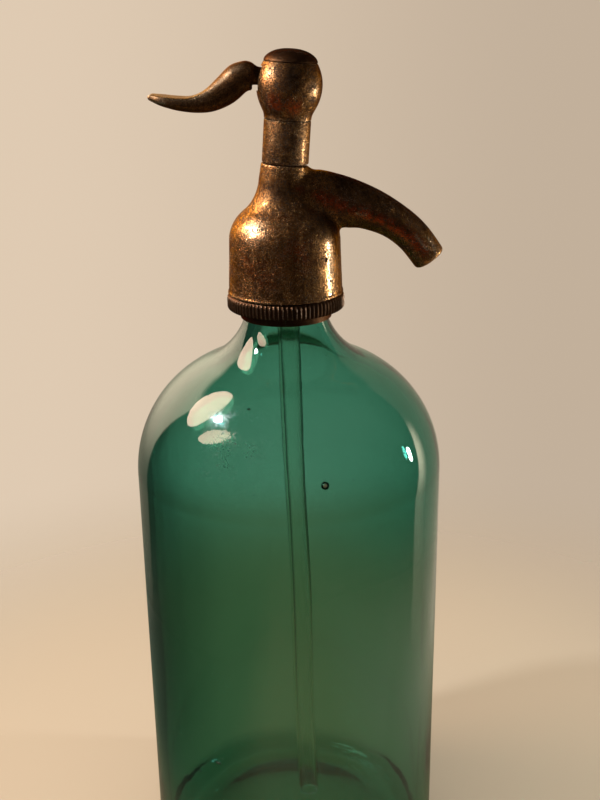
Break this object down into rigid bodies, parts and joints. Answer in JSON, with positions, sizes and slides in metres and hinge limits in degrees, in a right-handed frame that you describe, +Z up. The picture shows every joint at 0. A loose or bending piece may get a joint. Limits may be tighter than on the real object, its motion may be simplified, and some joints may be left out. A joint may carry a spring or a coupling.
{
  "type": "soda siphon",
  "caption": "Soda siphon: a thick glass bottle with a metal lever head and curved spout; pressing the lever lifts a spring-shut valve fed by a dip tube.",
  "frame": {"origin": "middle of the bottle's foot, on the surface it stands on", "axes": "+Z up the bottle's axis, +X towards the spout, -X towards the lever's thumb end"},
  "size_m": [0.105, 0.105, 0.2959],
  "materials": {
    "bottle_glass": "thick green-blue blown glass",
    "tube_glass": "pale drawn glass",
    "porcelain": "glazed white porcelain, opaque",
    "rubber": "old black rubber",
    "leather": "hard old leather",
    "aged_metal": "aged tin alloy, pitted and rubbed bright",
    "dark_metal": "darkened metal with worn edges",
    "brass": "turned brass",
    "spring_steel": "drawn wire"
  },
  "bodies": {
    "siphon": {"bottle": "bottle_glass", "dip_tube": "tube_glass", "tube_ferrule": "porcelain", "tube_seal": "rubber", "mouth_gasket": "rubber", "ferrule_washer": "rubber", "collar_cushion": "leather", "collar_half_left": "aged_metal", "collar_half_right": "aged_metal", "knurled_ring": "dark_metal", "head_body": "aged_metal", "valve_seat": "brass", "packing_washer": "brass", "rod_packing": "rubber", "stem_sleeve": "aged_metal", "spring_washer": "brass", "return_spring": "spring_steel", "ball_housing": "aged_metal", "ball_cap": "dark_metal", "pivot_screw": "brass"},
    "lever": {"lever": "aged_metal"},
    "piston": {"piston_rod": "brass", "piston_nut": "brass", "valve_disc": "rubber"}
  },
  "joints": [
    {"name": "lever_press", "type": "hinge", "parent": "siphon", "child": "lever", "pos_m": [-0.00302, 0, 0.28749], "axis": [0, -1, 0], "range_deg": [0, 15], "stiffness_Nm_per_rad": 0.6, "springref_deg": -17.19},
    {"name": "piston_lift", "type": "slide", "parent": "siphon", "child": "piston", "axis": [0.0732, 0, 0.9973], "range_m": [0, 0.0015], "deforming": ["return_spring"]}
  ],
  "couplings": [
    {"joint": "piston_lift", "follows": "lever_press", "m_per_rad": 0.0055}
  ]
}
